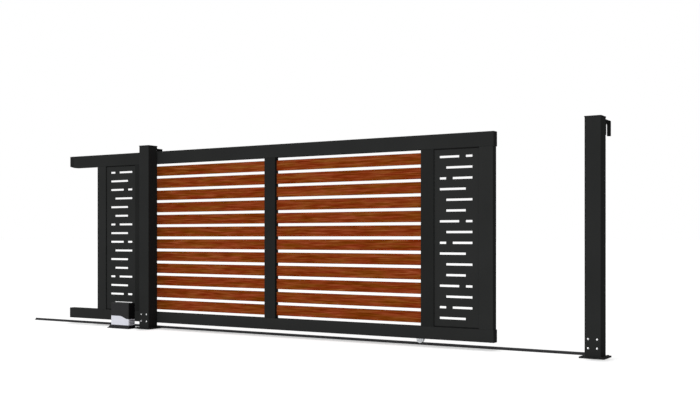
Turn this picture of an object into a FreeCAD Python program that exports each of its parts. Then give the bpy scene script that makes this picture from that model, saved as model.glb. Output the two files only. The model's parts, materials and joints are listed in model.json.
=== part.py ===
import FreeCAD, Part
import os

os.makedirs("parts", exist_ok=True)

# Sliding driveway gate: a slatted leaf on two wheels that runs along a ground rail behind two posts.
# Millimetres, +Z up. The origin is under the middle of the guide post's base plate, on the ground.
# +X runs along the gate to the strike post, +Y from the posts to the leaf.

Vector = FreeCAD.Vector
X_AXIS = Vector(1, 0, 0)
Y_AXIS = Vector(0, 1, 0)
Z_AXIS = Vector(0, 0, 1)

# Posts
post_width = 110.0
post_wall = 3.0
post_corner = 4.0
post_above_leaf = 45.0
post_spacing = 3959.0
cap_thickness = 6.0
cap_overhang = 2.5
cap_plug_depth = 20.0
plate_size = 170.0
plate_thickness = 10.0
plate_corner = 6.0
anchor_spacing = 130.0
anchor_hole = 13.0
spigot_height = 160.0
spigot_wall = 5.0
plug_clearance = 0.2

# Guide bracket and catch: arches that the leaf's top rail runs through
bracket_length = 20.0
bracket_near_leg = 9.0
bracket_far_leg = 25.0
bracket_web = 22.0
bracket_drop = 102.0
bracket_arch = 14.0
guide_clearance = 10.0
arch_clearance = 6.0

# Leaf
leaf_height = 1500.0
leaf_thickness = 60.0
ground_clearance = 46.0
leaf_end = 3202.5
stile_width = 108.0
bay_width = 1321.0
panel_width = 358.0
tail_length = 354.0
top_rail_height = 106.5
bottom_rail_height = 92.0
tube_wall = 2.5
tube_corner = 3.0
end_cap_thickness = 6.5
end_cap_edge = 2.0
end_cap_corner = 2.0
end_cap_plug = 25.0
tail_nose_length = 50.0
tail_nose_cut = 13.0

# Slats of the two long bays
slat_count = 12
slat_height = 84.0
slat_thickness = 20.0
slat_edge = 1.5
slat_wall = 1.6
slat_setback = 23.0
slat_back_lip = 3.0

# Slotted end panels
panel_thickness = 4.0
panel_setback = 10.0
slot_height = 16.0
slot_cell = 52.0
slot_margin = 43.0
slot_top_margin = 60.5
slot_bottom_margin = 68.0
# Each row is a list of (first cell, last cell) runs, counted from the side next to the slats
slot_rows = {
    "A": [(0, 2), (4, 4)],
    "B": [(1, 4)],
    "C": [(0, 0), (2, 4)],
    "D": [(0, 3)],
    "F": [(1, 3)],
}
slot_sequence = "ABCDBFABCDBFABCD"

# Ground rail
rail_start = -1550.0
rail_past_strike_post = 30.0
rail_foot_width = 37.0
rail_foot_thickness = 4.0
rail_bead_radius = 7.0
rail_bead_height = 12.0
rail_gap = 0.5

# Wheels and their carriers
wheel_flange_radius = 28.0
wheel_width = 26.0
axle_radius = 6.0
axle_clearance = 0.05
rolling_clearance = 0.3
wheel_drop = 28.3
wheel_inset = 590.0
cheek_thickness = 4.0
cheek_gap = 0.3
cheek_width = 36.0
carrier_web = 5.0
carrier_foot = 7.0
wheel_room = 5.0
pocket_room = 1.7

# Motor
motor_left = -304.0
motor_width = 214.0
motor_front = -146.0
motor_depth = 80.0
motor_height = 224.0
motor_corner = 10.0
motor_crown = 7.0
motor_plate_thickness = 5.0
motor_plate_margin = 4.0
motor_plate_reach = 40.0
plinth_height = 31.0
plinth_toe = 32.0
plinth_shoulder = 6.0
cover_skin = 4.0
cover_high = 110.0
cover_low = 84.0
cover_flat = 0.44
cover_rib_count = 3
cover_rib_height = 5.0
cover_rib_depth = 3.0

# Places that follow from the sizes above
leaf_front = post_width / 2 + bracket_near_leg + guide_clearance
leaf_middle = leaf_front + leaf_thickness / 2
leaf_top = ground_clearance + leaf_height
post_height = leaf_top + post_above_leaf
body_length = 5 * stile_width + 2 * bay_width + 2 * panel_width
leaf_start = leaf_end - body_length
tail_end = leaf_start - tail_length
opening_bottom = ground_clearance + bottom_rail_height
opening_top = leaf_top - top_rail_height
opening_height = opening_top - opening_bottom
axle_height = rail_bead_height + wheel_drop
slat_middle = leaf_front + slat_setback + slat_thickness / 2
inner_stile_depth = slat_setback + slat_thickness + slat_back_lip


def rounded_face(width, depth, radius):
    """Rectangle in the XY plane, centred on the origin, with rounded corners."""
    half_w = width / 2
    half_d = depth / 2
    turn = radius * (1 - 2 ** -0.5)
    corners = [(1, 1), (-1, 1), (-1, -1), (1, -1)]
    edges = []
    starts = []
    ends = []
    for index, (sx, sy) in enumerate(corners):
        along_x = Vector(sx * (half_w - radius), sy * half_d, 0)
        along_y = Vector(sx * half_w, sy * (half_d - radius), 0)
        middle = Vector(sx * (half_w - turn), sy * (half_d - turn), 0)
        first, last = (along_y, along_x) if index % 2 == 0 else (along_x, along_y)
        edges.append(Part.Arc(first, middle, last).toShape())
        starts.append(first)
        ends.append(last)
    for index in range(4):
        edges.append(Part.LineSegment(ends[index], starts[(index + 1) % 4]).toShape())
    return Part.Face(Part.Wire(Part.__sortEdges__(edges)))


def bar(width, depth, radius, length):
    """Solid bar with rounded long edges, standing on the XY plane."""
    return rounded_face(width, depth, radius).extrude(Z_AXIS * length)


def square_bar(width, depth, length):
    """Solid bar with sharp long edges, standing on the XY plane."""
    return box((-width / 2, -depth / 2, 0), (width / 2, depth / 2, length))


def eased_bar(width, depth, edge, length):
    """Solid bar with bevelled long edges, standing on the XY plane."""
    half_w = width / 2
    half_d = depth / 2
    outline = []
    for sx, sy in ((1, 1), (-1, 1), (-1, -1), (1, -1)):
        on_side = (sx * half_w, sy * (half_d - edge), 0)
        on_face = (sx * (half_w - edge), sy * half_d, 0)
        outline += [on_side, on_face] if sx * sy > 0 else [on_face, on_side]
    return prism(outline, Z_AXIS * length)


def tube(width, depth, radius, wall, length):
    """Hollow bar with rounded long edges and a square bore, open at both ends, standing on the XY plane."""
    bore = square_bar(width - 2 * wall, depth - 2 * wall, length)
    return bar(width, depth, radius, length).cut(bore)


def square_tube(width, depth, wall, length):
    """Hollow bar with sharp long edges, open at both ends, standing on the XY plane."""
    return square_bar(width, depth, length).cut(square_bar(width - 2 * wall, depth - 2 * wall, length))


def laid_along_x(shape):
    """Turn a standing bar so that it lies along +X from the origin."""
    return shape.rotated(Vector(), Y_AXIS, 90)


def box(low, high):
    """Box between two corners."""
    return Part.makeBox(high[0] - low[0], high[1] - low[1], high[2] - low[2], Vector(*low))


def prism(points, along):
    """Solid swept from a flat outline of straight edges."""
    wire = Part.makePolygon([Vector(*point) for point in points + points[:1]])
    return Part.Face(wire).extrude(along)


def drill(x, y, bottom, top, diameter):
    return Part.makeCylinder(diameter / 2, top - bottom, Vector(x, y, bottom))


def save(name, shape):
    shape.exportStep("parts/" + name + ".step")


# Posts with their caps and base plates

def post_tube(x):
    length = post_height - cap_thickness - plate_thickness
    post = tube(post_width, post_width, post_corner, post_wall, length)
    return post.translated(Vector(x, 0, plate_thickness))


def post_cap(x):
    plate_width = post_width + 2 * cap_overhang
    plate = bar(plate_width, plate_width, post_corner + cap_overhang, cap_thickness)
    plug_width = post_width - 2 * post_wall - 2 * plug_clearance
    plug = square_tube(plug_width, plug_width, post_wall, cap_plug_depth)
    cap = plate.fuse(plug.translated(Vector(0, 0, -cap_plug_depth))).removeSplitter()
    return cap.translated(Vector(x, 0, post_height - cap_thickness))


def base_plate(x):
    plate = bar(plate_size, plate_size, plate_corner, plate_thickness)
    for sx in (-1, 1):
        for sy in (-1, 1):
            hole_x = sx * anchor_spacing / 2
            hole_y = sy * anchor_spacing / 2
            plate = plate.cut(drill(hole_x, hole_y, 0, plate_thickness, anchor_hole))
    rail_edge = leaf_middle - rail_foot_width / 2 - rail_gap
    rail_way = box((-plate_size, rail_edge, 0), (plate_size, rail_edge + plate_size, plate_thickness))
    plate = plate.cut(rail_way)
    spigot_width = post_width - 2 * post_wall - 2 * plug_clearance
    spigot = square_tube(spigot_width, spigot_width, spigot_wall, spigot_height)
    foot = plate.fuse(spigot.translated(Vector(0, 0, plate_thickness))).removeSplitter()
    return foot.translated(Vector(x, 0, 0))


def arch_bracket(side):
    """Arch behind a post, open below for the top rail. It starts at the given side and runs along +X."""
    near = post_width / 2
    slot_near = near + bracket_near_leg
    slot_far = slot_near + leaf_thickness + 2 * guide_clearance
    far = slot_far + bracket_far_leg
    slot_top = leaf_top + arch_clearance
    top = slot_top + bracket_web
    bottom = top - bracket_drop
    block = box((side, near, bottom), (side + bracket_length, far, top))
    slot = box((side, slot_near, bottom), (side + bracket_length, slot_far, slot_top))
    rounded = [edge for edge in slot.Edges
               if edge.BoundBox.XLength > bracket_length / 2 and edge.BoundBox.ZMin > slot_top - 1]
    return block.cut(slot.makeFillet(bracket_arch, rounded))


for name, x in (("guide_post", 0.0), ("strike_post", post_spacing)):
    save(name, post_tube(x))
    save(name + "_cap", post_cap(x))
    save(name + "_base_plate", base_plate(x))

save("guide_bracket", arch_bracket(-bracket_length / 2))
save("strike_catch", arch_bracket(post_spacing + post_width / 2 - bracket_length))


# Ground rail: a flat foot under a strip whose crest is a round bead for the wheels

def ground_rail():
    length = post_spacing + rail_past_strike_post - rail_start
    foot_low = (rail_start, leaf_middle - rail_foot_width / 2, 0)
    foot_high = (rail_start + length, leaf_middle + rail_foot_width / 2, rail_foot_thickness)
    strip_low = (rail_start, leaf_middle - rail_bead_radius, 0)
    strip_high = (rail_start + length, leaf_middle + rail_bead_radius, rail_bead_height)
    crest = Vector(rail_start, leaf_middle, rail_bead_height)
    bead = Part.makeCylinder(rail_bead_radius, length, crest, X_AXIS)
    return box(foot_low, foot_high).multiFuse([box(strip_low, strip_high), bead]).removeSplitter()


save("ground_rail", ground_rail())


# Leaf frame: two long rails, five stiles between them and moulded end caps

wheel_places = {
    "front": leaf_end - wheel_inset,
    "rear": leaf_start + wheel_inset,
}
cheek_outside = wheel_width / 2 + cheek_gap + cheek_thickness
wheel_top = axle_height + wheel_flange_radius


def top_rail():
    length = leaf_end - tail_end - tail_nose_length
    rail = laid_along_x(tube(top_rail_height, leaf_thickness, tube_corner, tube_wall, length))
    return rail.translated(Vector(tail_end + tail_nose_length, leaf_middle, leaf_top - top_rail_height / 2))


def bottom_rail():
    length = leaf_end - tail_end
    rail = laid_along_x(tube(bottom_rail_height, leaf_thickness, tube_corner, tube_wall, length))
    rail = rail.translated(Vector(tail_end, leaf_middle, ground_clearance + bottom_rail_height / 2))
    half_length = wheel_flange_radius + wheel_room
    half_width = cheek_outside + pocket_room
    for x in wheel_places.values():
        low = (x - half_length, leaf_middle - half_width, ground_clearance)
        high = (x + half_length, leaf_middle + half_width, ground_clearance + tube_wall)
        rail = rail.cut(box(low, high))
    return rail


def rail_plug(height):
    """Short square tube that slides into the end of a rail, standing on the XY plane."""
    plug_height = height - 2 * tube_wall - 2 * plug_clearance
    plug_depth = leaf_thickness - 2 * tube_wall - 2 * plug_clearance
    return square_tube(plug_height, plug_depth, tube_wall, end_cap_plug)


def rail_cap(height, middle_height, x, direction):
    """End cap with a plug inside the rail. The outer edges of its face are bevelled."""
    face = eased_bar(height, leaf_thickness, end_cap_corner, end_cap_thickness)
    outer = [edge for edge in face.Edges if edge.BoundBox.ZMin > end_cap_thickness - 0.01]
    face = face.makeChamfer(end_cap_edge, outer)
    plug = rail_plug(height).translated(Vector(0, 0, -end_cap_plug))
    cap = face.fuse(plug).removeSplitter()
    return cap.rotated(Vector(), Y_AXIS, 90 * direction).translated(Vector(x, leaf_middle, middle_height))


def top_rail_nose():
    """Tail end of the top rail: a nose whose lower corner is cut on a slant, plugged into the rail."""
    nose = laid_along_x(bar(top_rail_height, leaf_thickness, tube_corner, tail_nose_length))
    low = -top_rail_height / 2
    side = -leaf_thickness / 2
    wedge = prism([(0, side, low), (tail_nose_length, side, low), (0, side, low + tail_nose_cut)],
                  Y_AXIS * leaf_thickness)
    nose = nose.cut(wedge)
    plug = laid_along_x(rail_plug(top_rail_height)).translated(Vector(tail_nose_length, 0, 0))
    nose = nose.fuse(plug).removeSplitter()
    return nose.translated(Vector(tail_end, leaf_middle, leaf_top - top_rail_height / 2))


def stile(left, depth):
    """Tube between the two rails, flush with their front."""
    post = tube(stile_width, depth, tube_corner, tube_wall, opening_height)
    return post.translated(Vector(left + stile_width / 2, leaf_front + depth / 2, opening_bottom))


left_panel_start = leaf_start + stile_width
left_bay_start = left_panel_start + panel_width + stile_width
right_bay_start = left_bay_start + bay_width + stile_width
right_panel_start = right_bay_start + bay_width + stile_width

stile_places = {
    "left_end_stile": (leaf_start, leaf_thickness),
    "left_inner_stile": (left_bay_start - stile_width, inner_stile_depth),
    "centre_stile": (right_bay_start - stile_width, inner_stile_depth),
    "right_inner_stile": (right_panel_start - stile_width, inner_stile_depth),
    "right_end_stile": (leaf_end - stile_width, leaf_thickness),
}

save("top_rail", top_rail())
save("bottom_rail", bottom_rail())
for name, (left, depth) in stile_places.items():
    save(name, stile(left, depth))

top_rail_middle = leaf_top - top_rail_height / 2
bottom_rail_middle = ground_clearance + bottom_rail_height / 2
save("top_rail_end_cap", rail_cap(top_rail_height, top_rail_middle, leaf_end, 1))
save("bottom_rail_end_cap", rail_cap(bottom_rail_height, bottom_rail_middle, leaf_end, 1))
save("bottom_rail_tail_cap", rail_cap(bottom_rail_height, bottom_rail_middle, tail_end, -1))
save("top_rail_tail_nose", top_rail_nose())


# Slats: hollow boards with even gaps between them, held at both ends by the stiles

def slat():
    """One hollow board with eased long edges, standing on the XY plane."""
    bore = square_bar(slat_height - 2 * slat_wall, slat_thickness - 2 * slat_wall, bay_width)
    return eased_bar(slat_height, slat_thickness, slat_edge, bay_width).cut(bore)


def slats(left):
    gap = (opening_height - slat_count * slat_height) / (slat_count + 1)
    boards = []
    for index in range(slat_count):
        middle = opening_bottom + gap + slat_height / 2 + index * (slat_height + gap)
        boards.append(laid_along_x(slat()).translated(Vector(left, slat_middle, middle)))
    return Part.makeCompound(boards)


save("left_slats", slats(left_bay_start))
save("right_slats", slats(right_bay_start))


# Slotted panels: one sheet each, with rows of square-ended slots in a repeating rhythm

def slotted_panel(left, mirrored):
    pitch = (opening_height - slot_top_margin - slot_bottom_margin) / (len(slot_sequence) - 1)
    sheet = box((0, 0, 0), (panel_width, panel_thickness, opening_height))
    cutters = []
    for row, kind in enumerate(slot_sequence):
        height = opening_height - slot_top_margin - row * pitch
        for first, last in slot_rows[kind]:
            start = slot_margin + first * slot_cell
            end = slot_margin + (last + 1) * slot_cell
            if mirrored:
                start, end = panel_width - end, panel_width - start
            low = (start, 0, height - slot_height / 2)
            high = (end, panel_thickness, height + slot_height / 2)
            cutters.append(box(low, high))
    sheet = sheet.cut(Part.makeCompound(cutters))
    return sheet.translated(Vector(left, leaf_front + panel_setback, opening_bottom))


save("left_panel", slotted_panel(left_panel_start, True))
save("right_panel", slotted_panel(right_panel_start, False))


# Wheels with a groove that rides the bead, on axles in carriers inside the bottom rail

def wheel(x):
    """Disc turned from one profile. Its groove keeps the rolling clearance over and beside the bead."""
    bore = axle_radius + axle_clearance
    half_groove = rail_bead_radius + rolling_clearance
    floor = wheel_drop - half_groove
    half_width = wheel_width / 2
    one_side = [(floor, half_groove), (wheel_flange_radius, half_groove),
                (wheel_flange_radius, half_width), (bore, half_width)]
    other_side = [(radius, -y) for radius, y in reversed(one_side)]
    outline = one_side + other_side
    corners = [Vector(radius, y, 0) for radius, y in outline + outline[:1]]
    disc = Part.Face(Part.makePolygon(corners)).revolve(Vector(), Y_AXIS, 360)
    return disc.translated(Vector(x, leaf_middle, axle_height))


def wheel_carrier(x):
    """Two cheeks with an axle, joined over the wheel, whose feet stand on the floor of the bottom rail."""
    inside = cheek_outside - cheek_thickness
    web_bottom = wheel_top + wheel_room
    web_top = web_bottom + carrier_web
    half = cheek_width / 2
    rail_floor = ground_clearance + tube_wall
    pieces = [box((-half, -cheek_outside, web_bottom), (half, cheek_outside, web_top))]
    for side in (-1, 1):
        y_low = min(side * inside, side * cheek_outside)
        cheek = box((-half, y_low, axle_height), (half, y_low + cheek_thickness, web_top))
        toe = Part.makeCylinder(half, cheek_thickness, Vector(0, y_low, axle_height), Y_AXIS)
        foot_y = min(side * cheek_outside, side * (cheek_outside + carrier_foot))
        foot_low = (-half, foot_y, rail_floor)
        foot_high = (half, foot_y + carrier_foot, rail_floor + cheek_thickness)
        foot = box(foot_low, foot_high)
        pieces += [cheek, toe, foot]
    axle = Part.makeCylinder(axle_radius, 2 * cheek_outside, Vector(0, -cheek_outside, axle_height), Y_AXIS)
    carrier = axle.multiFuse(pieces).removeSplitter()
    return carrier.translated(Vector(x, leaf_middle, 0))


for name, x in wheel_places.items():
    save(name + "_wheel", wheel(x))
    save(name + "_wheel_carrier", wheel_carrier(x))


# Motor: a moulded housing with a pale skirt, on a plinth and a ground plate

motor_right = motor_left + motor_width
motor_back = motor_front + motor_depth


def motor_plate():
    low = (motor_left - motor_plate_reach, motor_front - motor_plate_margin, 0)
    high = (motor_right, motor_back + motor_plate_margin, motor_plate_thickness)
    return box(low, high)


def motor_plinth():
    outline = [
        (motor_left - plinth_toe, motor_front, motor_plate_thickness),
        (motor_right, motor_front, motor_plate_thickness),
        (motor_right, motor_front, plinth_height),
        (motor_left - plinth_shoulder, motor_front, plinth_height),
    ]
    return prism(outline, Y_AXIS * motor_depth)


def motor_body():
    """Whole moulded outline above the plinth, crowned along its top edges."""
    body = bar(motor_width, motor_depth, motor_corner, motor_height - plinth_height)
    top = [edge for edge in body.Edges if edge.BoundBox.ZMin > motor_height - plinth_height - 0.01]
    body = body.makeFillet(motor_crown, top)
    middle = Vector(motor_left + motor_width / 2, motor_front + motor_depth / 2, plinth_height)
    return body.translated(middle)


def skirt_region():
    """Everything below the skirt's upper edge: level, then an easy slope down to the right side."""
    y = motor_front
    slope_start = Vector(motor_left + cover_flat * motor_width, y, cover_high)
    slope_end = Vector(motor_right, y, cover_low)
    lean = (slope_end.x - slope_start.x) / 2
    curve = Part.BezierCurve()
    curve.setPoles([slope_start, slope_start + X_AXIS * lean, slope_end - X_AXIS * lean, slope_end])
    corners = [
        slope_end,
        Vector(motor_right, y, plinth_height),
        Vector(motor_left, y, plinth_height),
        Vector(motor_left, y, cover_high),
        slope_start,
    ]
    edges = [curve.toShape()]
    for first, last in zip(corners, corners[1:]):
        edges.append(Part.LineSegment(first, last).toShape())
    outline = Part.Wire(Part.__sortEdges__(edges))
    return Part.Face(outline).extrude(Y_AXIS * motor_depth)


def motor_skirt(body):
    core = bar(motor_width - 2 * cover_skin, motor_depth - 2 * cover_skin,
               motor_corner - cover_skin, motor_height)
    core = core.translated(Vector(motor_left + motor_width / 2, motor_front + motor_depth / 2, 0))
    return body.common(skirt_region()).cut(core)


def rib_cuts():
    """Level grooves in the skirt's right side."""
    pitch = (cover_low - plinth_height) / (cover_rib_count + 1)
    cuts = []
    for index in range(cover_rib_count):
        middle = plinth_height + (index + 1) * pitch
        low = (motor_right - cover_rib_depth, motor_front + motor_corner, middle - cover_rib_height / 2)
        high = (motor_right, motor_back - motor_corner, middle + cover_rib_height / 2)
        cuts.append(box(low, high))
    return Part.makeCompound(cuts)


whole_motor = motor_body()
skirt = motor_skirt(whole_motor)
save("motor_base_plate", motor_plate())
save("motor_plinth", motor_plinth())
save("motor_housing", whole_motor.cut(skirt))
save("motor_skirt", skirt.cut(rib_cuts()))
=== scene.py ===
# %% [markdown]
# # Dressing a sliding driveway gate
# The gate is a wide metal leaf on two wheels. It runs along a rail in the ground, behind two posts.
# Its solids come ready made in metres, each with its place in its own mesh. This lesson adds what they
# lack: a camera, light, a finish for every surface, and the small fasteners that hold the gate together.
# The new pieces take their places from those solids, so they sit where they belong.

# %% Load the solids and keep their box
import json
import math

import bpy
from mathutils import Matrix, Vector


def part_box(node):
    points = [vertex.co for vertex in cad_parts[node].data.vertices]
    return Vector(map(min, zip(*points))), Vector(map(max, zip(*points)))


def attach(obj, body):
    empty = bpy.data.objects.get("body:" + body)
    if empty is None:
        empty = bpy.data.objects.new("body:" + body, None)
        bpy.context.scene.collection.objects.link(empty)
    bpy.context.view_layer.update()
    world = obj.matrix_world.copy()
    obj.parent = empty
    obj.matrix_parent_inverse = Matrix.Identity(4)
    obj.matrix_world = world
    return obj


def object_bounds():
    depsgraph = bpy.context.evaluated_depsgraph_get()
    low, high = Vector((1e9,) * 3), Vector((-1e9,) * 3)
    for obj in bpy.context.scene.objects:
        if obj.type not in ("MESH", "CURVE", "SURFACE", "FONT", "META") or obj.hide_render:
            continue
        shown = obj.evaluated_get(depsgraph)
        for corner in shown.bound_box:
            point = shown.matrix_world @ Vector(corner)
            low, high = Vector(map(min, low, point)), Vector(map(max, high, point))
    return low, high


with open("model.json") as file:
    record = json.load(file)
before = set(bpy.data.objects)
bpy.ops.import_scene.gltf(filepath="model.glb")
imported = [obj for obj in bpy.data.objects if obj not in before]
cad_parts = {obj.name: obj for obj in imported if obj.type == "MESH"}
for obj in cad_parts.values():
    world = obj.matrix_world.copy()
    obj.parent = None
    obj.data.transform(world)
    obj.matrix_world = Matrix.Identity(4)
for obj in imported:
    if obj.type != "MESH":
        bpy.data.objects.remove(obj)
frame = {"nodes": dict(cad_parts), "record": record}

cad_low, cad_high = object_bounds()
print("solids:", len(frame["nodes"]), "box:", [round(side, 3) for side in cad_high - cad_low])

# %% [markdown]
# ## The camera
# The gate is seen from well right of its strike post and from below eye height. The verticals stay
# vertical, so the camera is level, and the horizon is lowered by lens shift in place of a tilt.
# A 50 mm lens on a 36 mm sensor gives the picture's mild perspective.

# %% Set up the camera
PICTURE_WIDTH = 700
HORIZON_BELOW_MIDDLE = 27.5
LENS_LENGTH = 50.0
SENSOR_WIDTH = 36.0
CAMERA_PLACE = (5.93, -6.31, 0.792)
CAMERA_TURN = math.radians(31.5)

lens = bpy.data.cameras.new("portrait_lens")
lens.lens = LENS_LENGTH
lens.sensor_width = SENSOR_WIDTH
lens.shift_y = HORIZON_BELOW_MIDDLE / PICTURE_WIDTH
camera = bpy.data.objects.new("portrait_camera", lens)
camera.location = CAMERA_PLACE
camera.rotation_euler = (math.pi / 2, 0, CAMERA_TURN)
bpy.context.scene.collection.objects.link(camera)
bpy.context.scene.camera = camera
print("camera at", CAMERA_PLACE)

# %% [markdown]
# ## Writing shader maths as Python
# A finish is a tree of nodes, and most of its nodes only add and multiply. One small class wraps an
# output socket, so that `1 - mask * 0.5` adds the Math nodes by itself. Every other kind of node comes
# from the one method `node`, which sets the node's options first and its sockets after.

# %% A class for shader values
class Value:
    """An output socket in a node tree. Arithmetic on it adds Math nodes to the tree."""

    def __init__(self, tree, socket=None):
        self.tree = tree
        self.socket = socket

    def node(self, kind, settings=None, inputs=None, output=0):
        """Add a node: its settings first, then the values or links of its sockets."""
        made = self.tree.nodes.new(kind)
        for name, setting in (settings or {}).items():
            if name == "stops":
                self.set_stops(made.color_ramp, setting)
            else:
                setattr(made, name, setting)
        for name, value in (inputs or {}).items():
            if isinstance(value, Value):
                self.tree.links.new(value.socket, made.inputs[name])
            else:
                made.inputs[name].default_value = value
        return Value(self.tree, made.outputs[output] if made.outputs else None)

    @staticmethod
    def set_stops(ramp, stops):
        """Give a colour ramp its (position, colour) stops."""
        while len(ramp.elements) < len(stops):
            ramp.elements.new(1.0)
        for element, (position, colour) in zip(ramp.elements, stops):
            element.position = position
            element.color = colour

    def math(self, operation, *terms):
        return self.node("ShaderNodeMath", {"operation": operation}, dict(enumerate(terms)))

    def __add__(self, other):
        return self.math("ADD", self, other)

    __radd__ = __add__

    def __sub__(self, other):
        return self.math("SUBTRACT", self, other)

    def __rsub__(self, other):
        return self.math("SUBTRACT", other, self)

    def __mul__(self, other):
        return self.math("MULTIPLY", self, other)

    __rmul__ = __mul__

    def __truediv__(self, other):
        return self.math("DIVIDE", self, other)

    def floor(self):
        return self.math("FLOOR", self)

    def between(self, low, high):
        """0 below low, 1 above high, and a smooth rise in between."""
        return self.node("ShaderNodeMapRange", {"interpolation_type": "SMOOTHSTEP"},
                         {"Value": self, "From Min": low, "From Max": high})


print("shader values ready")

# %% [markdown]
# ## Light, floor and background
# The gate stands in a white studio. A broad light from the front and left gives the front faces their
# tone and leaves the faces towards the right darker. It casts no shadow, as the posts would darken the
# slats. A high sun behind the leaf, a little to its left, lays a short shadow on the floor in front of
# it. The white of the background is only what the camera and reflections see: the world that lights
# the gate is a plain grey, so each colour renders about as it is written.

# %% Build the world and the lamps
WORLD_FILL = 0.35
FRONT_LAMP = 2.0
TOP_LAMP = 2.6


def rays_that_see_white(nodes):
    """1 for camera, glossy and transmission rays, 0 for the rays that light the gate."""
    path = nodes.node("ShaderNodeLightPath")
    outputs = path.socket.node.outputs
    kinds = [Value(nodes.tree, outputs[name]) for name in
             ("Is Camera Ray", "Is Glossy Ray", "Is Transmission Ray")]
    return kinds[0].math("MAXIMUM", kinds[0].math("MAXIMUM", kinds[0], kinds[1]), kinds[2])


def add_sun(name, strength, softness, elevation, azimuth, shadow=True):
    """A sun that shines from the given compass side: azimuth 0 is the front, 90 the right."""
    data = bpy.data.lights.new(name, "SUN")
    data.energy = strength
    data.angle = math.radians(softness)
    data.use_shadow = shadow
    lamp = bpy.data.objects.new(name, data)
    rise = math.radians(elevation)
    turn = math.radians(azimuth)
    source = Vector((math.sin(turn) * math.cos(rise), -math.cos(turn) * math.cos(rise), math.sin(rise)))
    lamp.rotation_euler = source.to_track_quat("Z", "Y").to_euler()
    bpy.context.scene.collection.objects.link(lamp)


world = bpy.data.worlds.new("white_studio")
world.use_nodes = True
world.node_tree.nodes.clear()
sky = Value(world.node_tree)
sky_strength = WORLD_FILL + (1 - WORLD_FILL) * rays_that_see_white(sky)
backdrop = sky.node("ShaderNodeBackground", inputs={"Color": (1, 1, 1, 1), "Strength": sky_strength})
sky.node("ShaderNodeOutputWorld", inputs={"Surface": backdrop})
bpy.context.scene.world = world

add_sun("front_light", FRONT_LAMP, softness=40, elevation=20, azimuth=-25, shadow=False)
add_sun("top_light", TOP_LAMP, softness=4, elevation=85.5, azimuth=211)
bpy.context.scene.view_settings.view_transform = "Standard"
print("two suns and a white world")

# %% [markdown]
# ## The floor
# The floor has to be white to the camera and still show the shadow. A white floor under plain light
# would be a shade below white, so a part of what the camera sees is a steady glow, and the rest is lit
# by the lamps. Where the leaf keeps that light away, the floor turns grey.

# %% Lay the floor
FLOOR_SIZE = 400.0
FLOOR_GLOW = 0.38
FLOOR_GREY = (0.5, 0.5, 0.5, 1)

bpy.ops.object.select_all(action="DESELECT")
bpy.ops.mesh.primitive_plane_add(size=FLOOR_SIZE, location=(cad_high.x / 2, 0, 0))
floor = bpy.context.active_object
floor.name = "studio_floor"
floor_paint = bpy.data.materials.new("studio_floor")
floor_paint.use_nodes = True
floor_paint.node_tree.nodes.clear()
paint = Value(floor_paint.node_tree)
glow = paint.node("ShaderNodeEmission",
                  inputs={"Color": (1, 1, 1, 1), "Strength": FLOOR_GLOW * rays_that_see_white(paint)})
lit = paint.node("ShaderNodeBsdfDiffuse", inputs={"Color": FLOOR_GREY})
both = paint.node("ShaderNodeAddShader", inputs={0: glow, 1: lit})
paint.node("ShaderNodeOutputMaterial", inputs={"Surface": both})
floor.data.materials.append(floor_paint)
print("floor", FLOOR_SIZE, "m wide")

# %% [markdown]
# ## A common start for every finish
# Each finish reads Object coordinates, which here are metres in the gate's own frame. Patterns keep
# their real scale on every piece and move with it. A finish function gets those coordinates and
# gives back the inputs of one Principled shader.

# %% Helpers for the finishes
def srgb(red, green, blue):
    """A colour from its 0 to 255 screen values."""
    channels = []
    for channel in (red, green, blue):
        share = channel / 255
        channels.append(share / 12.92 if share <= 0.04045 else ((share + 0.055) / 1.055) ** 2.4)
    return (*channels, 1)


def noise(place, scale, detail=2.0, seed=None, distortion=0.0):
    """Soft random values from 0 to 1. The seed picks another pattern."""
    inputs = {"Vector": place, "Scale": scale, "Detail": detail, "Distortion": distortion}
    if seed is not None:
        inputs["W"] = seed
    dimensions = "3D" if seed is None else "4D"
    return place.node("ShaderNodeTexNoise", {"noise_dimensions": dimensions}, inputs)


def stretched(place, scale):
    """The same coordinates, scaled by a different factor along each axis."""
    return place.node("ShaderNodeMapping", inputs={"Vector": place, "Scale": scale})


def coordinates(place):
    """The place along the gate, across it and above the ground, as three values."""
    outputs = place.node("ShaderNodeSeparateXYZ", inputs={0: place}).socket.node.outputs
    return [Value(place.tree, outputs[name]) for name in "XYZ"]


def blend(share, first, second):
    """A colour between two others."""
    return share.node("ShaderNodeMix", {"data_type": "RGBA"}, {0: share, 6: first, 7: second}, output=2)


def relief(height, depth, strength):
    """A surface normal for small relief. Depth is in metres."""
    return height.node("ShaderNodeBump", inputs={"Height": height, "Distance": depth, "Strength": strength})


def make_finish(name, shade):
    """A material whose Principled inputs come from the function shade."""
    material = bpy.data.materials.new(name)
    material.use_nodes = True
    material.node_tree.nodes.clear()
    nodes = Value(material.node_tree)
    place = nodes.node("ShaderNodeTexCoord", output="Object")
    shader = nodes.node("ShaderNodeBsdfPrincipled", inputs=shade(place))
    nodes.node("ShaderNodeOutputMaterial", inputs={"Surface": shader})
    print("finish", name, "nodes:", len(material.node_tree.nodes))
    return material


print("finish helpers ready")

# %% [markdown]
# ## Anthracite powder coat
# Posts, leaf frame and slotted panels are aluminium, sprayed with charged powder and baked. The skin
# is a very dark grey with a trace of green, matt, with a fine grain of about a millimetre and a slow
# drift in tone. One noise gives the grain to colour, gloss and relief alike, so that they agree. Coats
# from different batches differ by a shade: the three inner stiles are a little darker, and the panels,
# the end stiles and the bottom rail a little lighter. The posts' caps, the guide bracket and the catch
# are coated nearly black. The specular level is close to zero in the dark finishes, as the white studio
# would veil them with its reflection.

# %% The frame's coat
DRIFT_SCALE = 2.5
COAT_GRAIN_SCALE = 900.0
COAT_GRAIN_DEPTH = 0.0003


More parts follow.
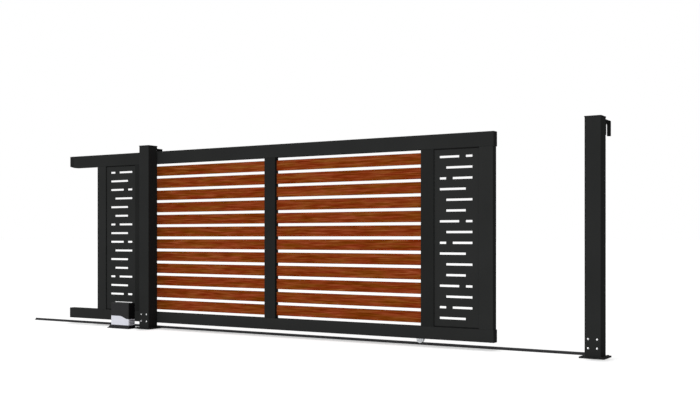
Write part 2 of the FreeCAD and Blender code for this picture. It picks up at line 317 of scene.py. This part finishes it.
def anthracite(level):
    """The coat's colour at one grey level, with its trace of green."""
    return srgb(level - 0.4, level + 0.4, level)


def powder_coat(dark, light):
    """A finish function for the coat, with the two greys that it drifts between."""
    def shade(place):
        drift = noise(place, DRIFT_SCALE, detail=3.0)
        grain = noise(place, COAT_GRAIN_SCALE, detail=3.0)
        tone = drift * 0.5 + grain * 0.5
        return {
            "Base Color": blend(tone, anthracite(dark), anthracite(light)),
            "Roughness": 0.62 + grain * 0.16,
            "Normal": relief(grain, COAT_GRAIN_DEPTH, 0.35),
            "Specular IOR Level": 0.001,
        }
    return shade


coat = make_finish("anthracite_coat", powder_coat(33, 48))
stile_coat = make_finish("anthracite_coat_stiles", powder_coat(27, 43))
light_coat = make_finish("anthracite_coat_light", powder_coat(35, 50))
black_coat = make_finish("anthracite_coat_black", powder_coat(17, 30))

# %% [markdown]
# ## Timber-look slats
# The slats are hollow aluminium boards with a printed wood grain in warm red-brown. The print runs
# along each board and no two boards match. A board's number comes from its height, and with the bay
# it seeds the noise. Three scales of grain lie over each other: broad flames, streaks and fine pores.
# A slow fourth noise decides where the print leans to red and where to a yellower brown.

# %% The slats' wood print
SLAT_COUNT = 12
FLAME_STRETCH = (2.2, 1.0, 24.0)
STREAK_STRETCH = (7.0, 4.0, 130.0)
PORE_STRETCH = (14.0, 60.0, 900.0)
LEAN_STRETCH = (4.0, 1.0, 34.0)
BOARD_SEED = 3.7
BAY_SEED = 61.3
LEAN_SEED = 11.0
TONE_PLACES = (0.20, 0.40, 0.56, 0.80)
YELLOW_BROWNS = (srgb(94, 37, 0), srgb(111, 54, 7), srgb(126, 68, 21), srgb(147, 89, 43))
RED_BROWNS = (srgb(103, 27, 2), srgb(120, 44, 14), srgb(135, 58, 28), srgb(156, 79, 50))
PORE_BROWN = srgb(64, 26, 4)
slats_low, slats_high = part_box("left_slats")
stile_low, stile_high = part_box("centre_stile")
slat_gap = slats_low.z - stile_low.z
slat_pitch = (slats_high.z - slats_low.z + slat_gap) / SLAT_COUNT
bay_middle = (stile_low.x + stile_high.x) / 2


def toned(share, colours):
    """A colour ramp through the wood's four tones, from dark to light."""
    return share.node("ShaderNodeValToRGB", {"stops": list(zip(TONE_PLACES, colours))}, {"Fac": share})


def wood_print(place):
    along, _, height = coordinates(place)
    board = ((height - slats_low.z + slat_gap / 2) / slat_pitch).floor()
    bay = along.math("GREATER_THAN", along, bay_middle)
    seed = board * BOARD_SEED + bay * BAY_SEED
    flames = noise(stretched(place, FLAME_STRETCH), 1.0, 2.0, seed, 0.4)
    streaks = noise(stretched(place, STREAK_STRETCH), 1.0, 4.0, seed, 0.2)
    pores = noise(stretched(place, PORE_STRETCH), 1.0, 2.0, seed)
    board_tone = place.node("ShaderNodeTexWhiteNoise", {"noise_dimensions": "1D"}, {"W": seed})
    lean = noise(stretched(place, LEAN_STRETCH), 1.0, 1.0, seed + LEAN_SEED).between(0.25, 0.7)
    figure = flames * 0.3 + streaks * 1.35 + board_tone * 0.02 - 0.36
    tone = blend(lean, toned(figure, YELLOW_BROWNS), toned(figure, RED_BROWNS))
    dark_pores = pores.between(0.56, 0.70) * 0.4
    return {
        "Base Color": blend(dark_pores, tone, PORE_BROWN),
        "Roughness": 0.5 + streaks * 0.18,
        "Normal": relief(pores * 0.6 + streaks * 0.4, 0.0004, 0.3),
        "Specular IOR Level": 0.002,
    }


wood = make_finish("timber_print", wood_print)

# %% [markdown]
# ## Rail steel
# The ground rail is dark painted steel, and the wheels keep the crest of its bead bare. Height alone
# tells the crest from the rest. Noise along the rail breaks the bare line up, as real wear does.

# %% The ground rail's finish
CREST_FADE = 0.0016
PATCH_STRETCH = (6.0, 60.0, 60.0)
PAINT_GRAIN_SCALE = 500.0
PAINT_GRAIN_DEPTH = 0.0003
rail_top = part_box("ground_rail")[1].z


def rail_steel(place):
    height = coordinates(place)[2]
    patches = noise(stretched(place, PATCH_STRETCH), 1.0, 4.0)
    grain = noise(place, PAINT_GRAIN_SCALE, detail=3.0)
    crest = height.between(rail_top - CREST_FADE, rail_top) * patches.between(0.3, 0.6)
    painted = blend(patches, srgb(45, 45, 46), srgb(61, 61, 62))
    return {
        "Base Color": blend(crest, painted, srgb(96, 96, 97)),
        "Metallic": crest * 0.3,
        "Roughness": 0.7 - crest * 0.2 + grain * 0.1,
        "Normal": relief(grain, PAINT_GRAIN_DEPTH, 0.3),
        "Specular IOR Level": 0.005,
    }


rail_finish = make_finish("rail_steel", rail_steel)

# %% [markdown]
# ## Galvanised metal
# Wheels and carriers are zinc-coated steel. Hot zinc freezes in flat crystals, the spangle, so a Voronoi
# pattern gives each crystal its own tone and gloss. A fine noise roughens them a little.

# %% The zinc finish
SPANGLE_SCALE = 160.0
HAZE_SCALE = 60.0


def zinc_coat(place):
    crystal = place.node("ShaderNodeTexVoronoi", inputs={"Vector": place, "Scale": SPANGLE_SCALE},
                         output="Color")
    spangle = place.node("ShaderNodeSeparateColor", inputs={0: crystal})
    haze = noise(place, HAZE_SCALE, detail=4.0)
    return {
        "Base Color": blend(spangle * 0.6 + haze * 0.4, srgb(124, 126, 128), srgb(178, 180, 182)),
        "Metallic": 0.85,
        "Roughness": 0.34 + spangle * 0.14 + haze * 0.1,
        "Normal": relief(haze, 0.0002, 0.25),
    }


zinc = make_finish("galvanised_zinc", zinc_coat)

# %% [markdown]
# ## Bright plated screws
# The screw heads on the posts are the brightest spots of the gate: satin plated steel that reflects the
# white studio softly, so each head keeps its round form. Turning marks run round each head, but they
# are finer than a tenth of a millimetre, so plain noise in the gloss stands for them.

# %% The bright plating
MARK_SCALE = 2500.0
STAIN_SCALE = 120.0


def bright_plating(place):
    marks = noise(place, MARK_SCALE, detail=2.0)
    stain = noise(place, STAIN_SCALE, detail=2.0)
    return {
        "Base Color": blend(stain, srgb(184, 184, 186), srgb(204, 204, 205)),
        "Metallic": 1.0,
        "Roughness": 0.34 + marks * 0.12,
        "Normal": relief(marks, 0.00005, 0.3),
    }


plating = make_finish("bright_plating", bright_plating)

# %% [markdown]
# ## Moulded plastics
# The motor's housing, its pale skirt and the rails' end caps are injection moulded. The steel mould is
# etched, which leaves a leather-like grain about a millimetre across. One function with two colours and
# a grain size serves all three. The housing's side towards the guide post lies in shade, and that shade
# is painted: its plastic turns black over the last millimetres.

# %% The plastics
HOUSING_GRAIN = 0.0011
CAP_GRAIN = 0.0009
MOULD_GRAIN_DEPTH = 0.00015
MOULD_DRIFT_SCALE = 18.0
PAINTED_SHADE_DEPTH = 0.004
PAINTED_SHADE_FADE = 0.002
PAINTED_SIDE_SHADE = srgb(22, 22, 23)


def moulded(dark, light, grain_size, gloss, shade_from=None):
    """A finish function for plastic with an etched grain. From one place along X it is painted black as
    shade.
    """
    def shade(place):
        cells = place.node("ShaderNodeTexVoronoi", {"feature": "SMOOTH_F1"},
                           {"Vector": place, "Scale": 1 / grain_size, "Smoothness": 0.6})
        drift = noise(place, MOULD_DRIFT_SCALE, detail=3.0)
        colour = blend(drift * 0.7 + cells * 0.3, dark, light)
        if shade_from is not None:
            # painted shade: the housing's shaded side turns black
            side = coordinates(place)[0].between(shade_from, shade_from + PAINTED_SHADE_FADE)
            colour = blend(side, colour, PAINTED_SIDE_SHADE)
        return {
            "Base Color": colour,
            "Roughness": gloss + cells * 0.12,
            "Normal": relief(cells, MOULD_GRAIN_DEPTH, 0.4),
            "Specular IOR Level": 0.002,
        }
    return shade


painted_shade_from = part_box("motor_housing")[1].x - PAINTED_SHADE_DEPTH
motor_dark = make_finish("motor_dark_plastic",
                         moulded(srgb(42, 42, 43), srgb(54, 54, 55), HOUSING_GRAIN, 0.55, painted_shade_from))
cap_plastic = make_finish("end_cap_plastic",
                          moulded(srgb(30, 30, 30), srgb(44, 44, 44), CAP_GRAIN, 0.5))

# %% [markdown]
# ## The motor's pale skirt
# The skirt is the same kind of plastic. The grooves in its side towards the guide post are vents, and
# the shade inside them is painted dark. Repeating steps in height find them, and their depth and length
# keep the painted shade off the outer faces.

# %% The skirt's plastic
VENT_COUNT = 3
VENT_HEIGHT = 0.005
VENT_DEPTH = 0.003
VENT_FADE = 0.0004
SIDE_HEIGHT = 0.053
SKIRT_CORNER = 0.010
PAINTED_VENT_SHADE = srgb(24, 24, 25)
skirt_low, skirt_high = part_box("motor_skirt")
vent_pitch = SIDE_HEIGHT / (VENT_COUNT + 1)
pale_plastic = moulded(srgb(202, 203, 212), srgb(220, 221, 230), HOUSING_GRAIN, 0.45)


def inside(value, low, high):
    """1 from low to high and 0 beyond, with a short fade outside."""
    return value.between(low - VENT_FADE, low) * (1 - value.between(high, high + VENT_FADE))


def skirt_plastic(place):
    along, across, height = coordinates(place)
    row = (height - skirt_low.z) / vent_pitch
    off_row = (row - (row + 0.5).floor()) * vent_pitch
    in_row = inside(off_row, -VENT_HEIGHT / 2, VENT_HEIGHT / 2)
    in_depth = inside(along, skirt_high.x - VENT_DEPTH - VENT_FADE, skirt_high.x - 2 * VENT_FADE)
    in_length = inside(across, skirt_low.y + SKIRT_CORNER, skirt_high.y - SKIRT_CORNER)
    inputs = pale_plastic(place)
    # painted shade inside the vents
    inputs["Base Color"] = blend(in_row * in_depth * in_length, inputs["Base Color"], PAINTED_VENT_SHADE)
    return inputs


motor_pale = make_finish("motor_pale_plastic", skirt_plastic)

# %% [markdown]
# ## Dressing the solids
# The record names a finish slot for every solid. The solids keep their shapes, and only the material in
# their slot changes. One table from slot to finish dresses them all, and a second, shorter one names the
# solids whose coat comes from another batch.

# %% Give each solid its finish
finish_of_slot = {
    "frame_coat": coat,
    "slat_wood": wood,
    "rail_steel": rail_finish,
    "zinc": zinc,
    "motor_dark": motor_dark,
    "motor_white": motor_pale,
    "cap_plastic": cap_plastic,
}
coat_of_solid = {
    "left_inner_stile": stile_coat,
    "centre_stile": stile_coat,
    "right_inner_stile": stile_coat,
    "left_panel": light_coat,
    "right_panel": light_coat,
    "left_end_stile": light_coat,
    "right_end_stile": light_coat,
    "bottom_rail": light_coat,
    "guide_post_cap": black_coat,
    "strike_post_cap": black_coat,
    "guide_bracket": black_coat,
    "strike_catch": black_coat,
}
for subpart in frame["record"]["subparts"]:
    solid = frame["nodes"][subpart["node"]]
    finish = coat_of_solid.get(subpart["node"], finish_of_slot[subpart["material_slot"]])
    for index in range(len(solid.material_slots)):
        solid.material_slots[index].material = finish

# %% [markdown]
# ## Tools for shaping
# A small piece is modelled once, standing at the origin. Faces and edges are picked in code by their
# place, the way a hand would click on them, and the edit mode's operators then shape what is picked.

# %% Helpers for shaping
LEVEL_TOLERANCE = 1e-6


def add_cylinder(name, sides, radius, height):
    """A cylinder that stands on the floor plane at the origin, and is the only thing selected."""
    bpy.ops.object.select_all(action="DESELECT")
    middle = (0, 0, height / 2)
    bpy.ops.mesh.primitive_cylinder_add(vertices=sides, radius=radius, depth=height, location=middle)
    piece = bpy.context.active_object
    piece.name = name
    bpy.ops.object.transform_apply(location=True, rotation=True, scale=True)
    return piece


def pick(piece, kind, test):
    """Enter edit mode with the faces or edges selected whose corners pass the test."""
    bpy.ops.object.mode_set(mode="EDIT")
    bpy.ops.mesh.select_mode(type=kind)
    bpy.ops.mesh.select_all(action="DESELECT")
    bpy.ops.object.mode_set(mode="OBJECT")
    mesh = piece.data
    for element in mesh.polygons if kind == "FACE" else mesh.edges:
        corners = [mesh.vertices[index].co for index in element.vertices]
        element.select = test(corners)
    bpy.ops.object.mode_set(mode="EDIT")


def at_height(height):
    """A test for faces and edges that lie level at one height."""
    return lambda corners: all(abs(corner.z - height) < LEVEL_TOLERANCE for corner in corners)


def leave_edit():
    bpy.ops.object.mode_set(mode="OBJECT")


def round_rim(piece, height, offset, segments):
    """Bevel the rim of a standing piece at one height."""
    pick(piece, "EDGE", at_height(height))
    bpy.ops.mesh.bevel(offset=offset, segments=segments, affect="EDGES")
    leave_edit()


print("shaping helpers ready")

# %% [markdown]
# ## Tools for joining, cutting and laying
# Pieces are joined or cut out of each other as whole objects. Copies of a finished model are laid at
# their places, each with its own mesh, and joined into one piece whose object stays at the origin.

# %% Helpers for whole pieces
SMOOTH_ANGLE = math.radians(35)


def select_only(piece):
    bpy.ops.object.select_all(action="DESELECT")
    piece.select_set(True)
    bpy.context.view_layer.objects.active = piece


def put_away(model):
    """Remove a model or a cutter that has done its work."""
    bpy.data.objects.remove(model)


def join_into(piece, others):
    """Join other pieces into one."""
    bpy.ops.object.select_all(action="DESELECT")
    for member in [piece, *others]:
        member.select_set(True)
    bpy.context.view_layer.objects.active = piece
    bpy.ops.object.join()
    return piece


def lift(piece, height):
    """Move a piece up and keep its object at the origin."""
    piece.location.z = height
    select_only(piece)
    bpy.ops.object.transform_apply(location=True, rotation=True, scale=True)


def cut_away(piece, cutter):
    """Cut one piece out of another, and put the cutter away."""
    cut = piece.modifiers.new("cut", "BOOLEAN")
    cut.operation = "DIFFERENCE"
    cut.object = cutter
    select_only(piece)
    bpy.ops.object.modifier_apply(modifier=cut.name)
    put_away(cutter)


def lay_copies(model, name, places, body, finish):
    """Lay copies of a model at the given matrices as one piece that rides a body."""
    copies = []
    for matrix in places:
        copy = model.copy()
        copy.data = model.data.copy()
        copy.matrix_world = matrix
        bpy.context.scene.collection.objects.link(copy)
        copies.append(copy)
    bpy.ops.object.select_all(action="DESELECT")
    for copy in copies:
        copy.select_set(True)
    bpy.context.view_layer.objects.active = copies[0]
    bpy.ops.object.transform_apply(location=True, rotation=True, scale=True)
    piece = join_into(copies[0], copies[1:])
    piece.name = name
    piece.data.name = name
    bpy.ops.object.shade_smooth_by_angle(angle=SMOOTH_ANGLE)
    piece.data.materials.clear()
    piece.data.materials.append(finish)
    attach(piece, body)
    print(name, "copies:", len(copies), "faces:", len(piece.data.polygons))


print("joining helpers ready")

# %% [markdown]
# ## Button screws
# The posts and base plates are held by button screws: a low domed head with a hexagon socket, on a
# thin washer. The dome is a cylinder with a widely bevelled rim. The socket is cut with a Boolean,
# which keeps its six corners sharp.

# %% Model a button screw
HEAD_SIDES = 40
SOCKET_SIDES = 6
DOME_SHARE = 0.67
SOCKET_FLOOR_SHARE = 0.47
SOCKET_RADIUS_SHARE = 0.4
WASHER_RADIUS_SHARE = 1.17
WASHER_HEIGHT_SHARE = 0.16


def button_screw(name, radius, height):
    """A button screw with its washer, standing at the origin."""
    washer_height = radius * WASHER_HEIGHT_SHARE
    washer = add_cylinder(name + "_washer", HEAD_SIDES, radius * WASHER_RADIUS_SHARE, washer_height)
    round_rim(washer, washer_height, washer_height * 0.4, 2)
    head = add_cylinder(name, HEAD_SIDES, radius, height)
    round_rim(head, height, height * DOME_SHARE, 6)
    socket = add_cylinder(name + "_socket", SOCKET_SIDES, radius * SOCKET_RADIUS_SHARE, height)
    lift(socket, height * SOCKET_FLOOR_SHARE)
    cut_away(head, socket)
    lift(head, washer_height)
    screw = join_into(head, [washer])
    print(name, "faces:", len(screw.data.polygons))
    return screw


# %% [markdown]
# ## Screws on the posts
# Four bright screws on the front of each post hold it to the spigot of its base plate. They sit in a
# square near the foot.

# %% Lay the screws on both posts
POST_SCREW_RADIUS = 0.0060
POST_SCREW_HEIGHT = 0.0040
SCREW_SPREAD = 0.060
SCREW_LOWEST = 0.065
FACING_FRONT = Matrix.Rotation(math.pi / 2, 4, "X")


def screw_places(post):
    low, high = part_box(post)
    middle = (low.x + high.x) / 2
    places = []
    for side in (-0.5, 0.5):
        for row in (0, 1):
            spot = Vector((middle + side * SCREW_SPREAD, low.y, SCREW_LOWEST + row * SCREW_SPREAD))
            places.append(Matrix.Translation(spot) @ FACING_FRONT)
    return places


post_screw = button_screw("post_screw", POST_SCREW_RADIUS, POST_SCREW_HEIGHT)
for post in ("guide_post", "strike_post"):
    lay_copies(post_screw, post + "_screws", screw_places(post), "posts_and_rail", plating)
put_away(post_screw)

# %% [markdown]
# ## Anchor screws
# A larger and flatter screw holds each corner of a base plate to the ground. It has the same coat as
# the plate, so it hardly shows. Each one is turned a little further than the last, as screws are.

# %% Lay the anchor screws on both base plates
ANCHOR_RADIUS = 0.0092
ANCHOR_HEIGHT = 0.0032
ANCHOR_SPREAD = 0.130
FIRST_TURN = 8
NEXT_TURN = 17


def anchor_places(post):
    low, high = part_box(post)
    middle = (low + high) / 2
    places = []
    for number, (sx, sy) in enumerate(((-1, -1), (1, -1), (1, 1), (-1, 1))):
        spot = Vector((middle.x + sx * ANCHOR_SPREAD / 2, middle.y + sy * ANCHOR_SPREAD / 2, low.z))
        turn = Matrix.Rotation(math.radians(FIRST_TURN + NEXT_TURN * number), 4, "Z")
        places.append(Matrix.Translation(spot) @ turn)
    return places


anchor_screw = button_screw("anchor_screw", ANCHOR_RADIUS, ANCHOR_HEIGHT)
for post in ("guide_post", "strike_post"):
    lay_copies(anchor_screw, post + "_anchors", anchor_places(post), "posts_and_rail", coat)
put_away(anchor_screw)

# %% [markdown]
# ## Rail screws
# The rail's foot is screwed to the ground at even steps, on both sides of the bead by turns. Each head
# is a low disc with a square recess, painted with the rail.

# %% Model and lay the rail screws
RAIL_SCREW_SIDES = 24
RECESS_SIDES = 4
RAIL_SCREW_RADIUS = 0.0042
RAIL_SCREW_HEIGHT = 0.0011
RAIL_SCREW_STEP = 0.40
RAIL_SCREW_SIDE = 0.0125
RAIL_FOOT_HEIGHT = 0.004
RECESS_REACH = 0.0022

rail_screw = add_cylinder("rail_screw", RAIL_SCREW_SIDES, RAIL_SCREW_RADIUS, RAIL_SCREW_HEIGHT)
round_rim(rail_screw, RAIL_SCREW_HEIGHT, RAIL_SCREW_HEIGHT * 0.6, 3)
recess = add_cylinder("recess_cutter", RECESS_SIDES, RECESS_REACH, RAIL_SCREW_HEIGHT)
lift(recess, RAIL_SCREW_HEIGHT * 0.5)
cut_away(rail_screw, recess)

rail_low, rail_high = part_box("ground_rail")
rail_middle = (rail_low.y + rail_high.y) / 2
rail_screw_count = int((rail_high.x - rail_low.x) / RAIL_SCREW_STEP)
first_screw = (rail_low.x + rail_high.x - (rail_screw_count - 1) * RAIL_SCREW_STEP) / 2
rail_screw_places = []
for number in range(rail_screw_count):
    side = -RAIL_SCREW_SIDE if number % 2 == 0 else RAIL_SCREW_SIDE
    spot = (first_screw + number * RAIL_SCREW_STEP, rail_middle + side, RAIL_FOOT_HEIGHT)
    rail_screw_places.append(Matrix.Translation(spot))
lay_copies(rail_screw, "rail_screws", rail_screw_places, "posts_and_rail", rail_finish)
put_away(rail_screw)

# %% [markdown]
# ## Axle caps
# A pressed cap closes each end of the two axles, on the outside of the carriers' cheeks. It is a short
# cylinder with a well rounded rim and a small dimple in the middle, and it rides with the leaf.

# %% Model and lay the axle caps
AXLE_CAP_SIDES = 32
AXLE_CAP_RADIUS = 0.0062
AXLE_CAP_HEIGHT = 0.0015
CHEEK_HALF_GAP = 0.0173
FACING_BACK = Matrix.Rotation(-math.pi / 2, 4, "X")

axle_cap = add_cylinder("axle_cap", AXLE_CAP_SIDES, AXLE_CAP_RADIUS, AXLE_CAP_HEIGHT)
round_rim(axle_cap, AXLE_CAP_HEIGHT, AXLE_CAP_HEIGHT * 0.6, 4)
pick(axle_cap, "FACE", at_height(AXLE_CAP_HEIGHT))
bpy.ops.mesh.inset(thickness=AXLE_CAP_RADIUS * 0.25)
bpy.ops.mesh.extrude_region_move(TRANSFORM_OT_translate={"value": (0, 0, -AXLE_CAP_HEIGHT * 0.2)})
leave_edit()

for wheel in ("front_wheel", "rear_wheel"):
    wheel_low, wheel_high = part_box(wheel)
    hub = (wheel_low + wheel_high) / 2
    outside = [
        Matrix.Translation(hub - Vector((0, CHEEK_HALF_GAP, 0))) @ FACING_FRONT,
        Matrix.Translation(hub + Vector((0, CHEEK_HALF_GAP, 0))) @ FACING_BACK,
    ]
    lay_copies(axle_cap, wheel + "_axle_caps", outside, "gate_leaf", zinc)
put_away(axle_cap)

# %% [markdown]
# ## Painted shade along the panels
# Each slotted panel is a thin sheet that stands back from the rails. The joint above and below it lies
# in shade, and black strips lie there as painted shade, a dark line along both rails. A strip is a
# bar as long as the panel. Its one free edge is bevelled, as on a strip that is pressed into a corner.

# %% Model and lay the strips of painted shade
SHADE_STRIP_HEIGHT = 0.008
SHADE_STRIP_DEPTH = 0.005
SHADE_STRIP_ROUNDING = 0.003
SHADE_STRIP_GRAIN = 0.0012
UPSIDE_DOWN = Matrix.Rotation(math.pi, 4, "Y")


def free_edge(corners):
    """A test for the lower front edge of a shade strip, the only one that touches nothing."""
    return all(corner.y < -SHADE_STRIP_DEPTH * 0.9 and corner.z < -SHADE_STRIP_HEIGHT * 0.9 for corner in corners)


# painted shade: black strips in the joints above and below each panel
shade_strip_finish = make_finish("painted_shade_black", moulded(srgb(18, 18, 18), srgb(28, 28, 28), SHADE_STRIP_GRAIN, 0.6))
panel_low, panel_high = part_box("left_panel")
bpy.ops.object.select_all(action="DESELECT")
bpy.ops.mesh.primitive_cube_add(size=1, location=(0, -SHADE_STRIP_DEPTH / 2, -SHADE_STRIP_HEIGHT / 2))
shade_strip = bpy.context.active_object
shade_strip.name = "shade_strip"
shade_strip.scale = (panel_high.x - panel_low.x, SHADE_STRIP_DEPTH, SHADE_STRIP_HEIGHT)
bpy.ops.object.transform_apply(location=True, rotation=True, scale=True)
pick(shade_strip, "EDGE", free_edge)
bpy.ops.mesh.bevel(offset=SHADE_STRIP_ROUNDING, segments=4, affect="EDGES")
leave_edit()

for panel in ("left_panel", "right_panel"):
    panel_low, panel_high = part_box(panel)
    middle = (panel_low.x + panel_high.x) / 2
    joints = [
        Matrix.Translation((middle, panel_low.y, panel_high.z)),
        Matrix.Translation((middle, panel_low.y, panel_low.z)) @ UPSIDE_DOWN,
    ]
    lay_copies(shade_strip, panel + "_shade_strips", joints, "gate_leaf", shade_strip_finish)
put_away(shade_strip)
